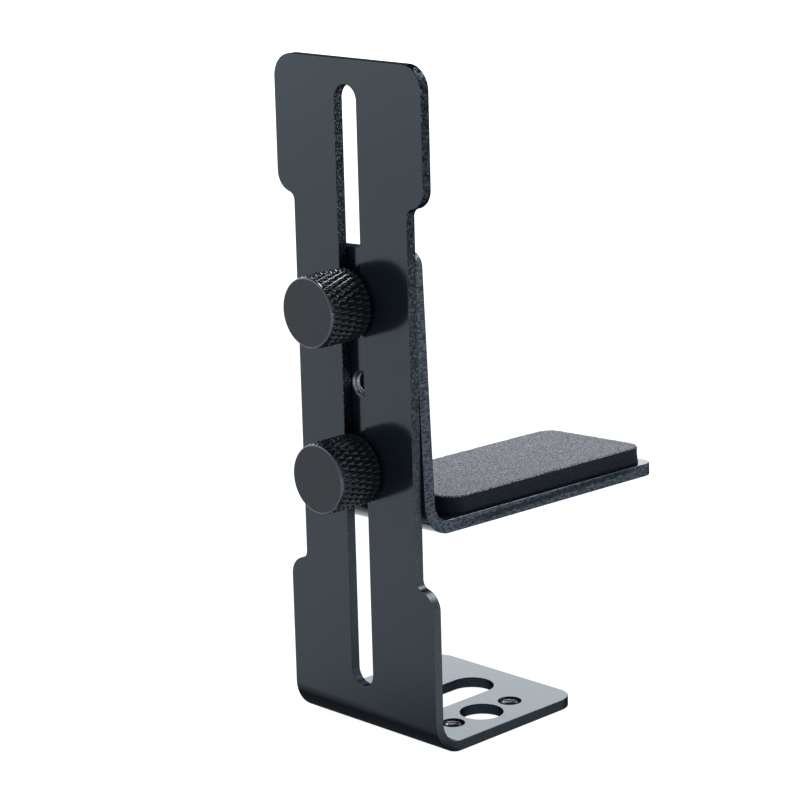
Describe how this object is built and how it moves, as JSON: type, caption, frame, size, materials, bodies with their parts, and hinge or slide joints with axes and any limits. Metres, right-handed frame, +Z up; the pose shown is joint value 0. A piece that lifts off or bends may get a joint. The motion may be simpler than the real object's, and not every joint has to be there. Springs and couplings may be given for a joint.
{
  "type": "graphics card support bracket",
  "caption": "Folded steel stand for a computer case: a slotted upright with a foot, a height-adjustable padded arm behind it, and knurled thumbscrews that clamp the arm",
  "frame": {"origin": "the middle of the foot's slot, level with the foot's flat underside", "axes": "+X across the bracket, to the right as seen from the thumbscrews; +Y from the thumbscrews towards the free end of the shelf; +Z up"},
  "size_m": [0.0302, 0.061, 0.1022],
  "materials": {
    "powder_coat": "black satin powder coat on folded steel sheet",
    "foam": "dark grey closed-cell foam, stuck on",
    "anodised": "black anodised aluminium, knurled"
  },
  "bodies": {
    "upright": {"upright_bracket": "powder_coat"},
    "arm": {"support_arm": "powder_coat", "foam_pad": "foam"},
    "upper_screw": {"upper_thumbscrew": "anodised"},
    "lower_screw": {"lower_thumbscrew": "anodised"}
  },
  "joints": [
    {"name": "arm_slide", "type": "slide", "parent": "upright", "child": "arm", "axis": [0, 0, 1], "range_m": [-0.029, 0.029]},
    {"name": "upper_screw_turn", "type": "hinge", "parent": "arm", "child": "upper_screw", "pos_m": [-0.00072, -0.01785, 0.06659], "axis": [0, -1, 0], "range_deg": [0, 540]},
    {"name": "lower_screw_turn", "type": "hinge", "parent": "arm", "child": "lower_screw", "pos_m": [0.00023, -0.01785, 0.04201], "axis": [0, -1, 0], "range_deg": [0, 540]}
  ]
}
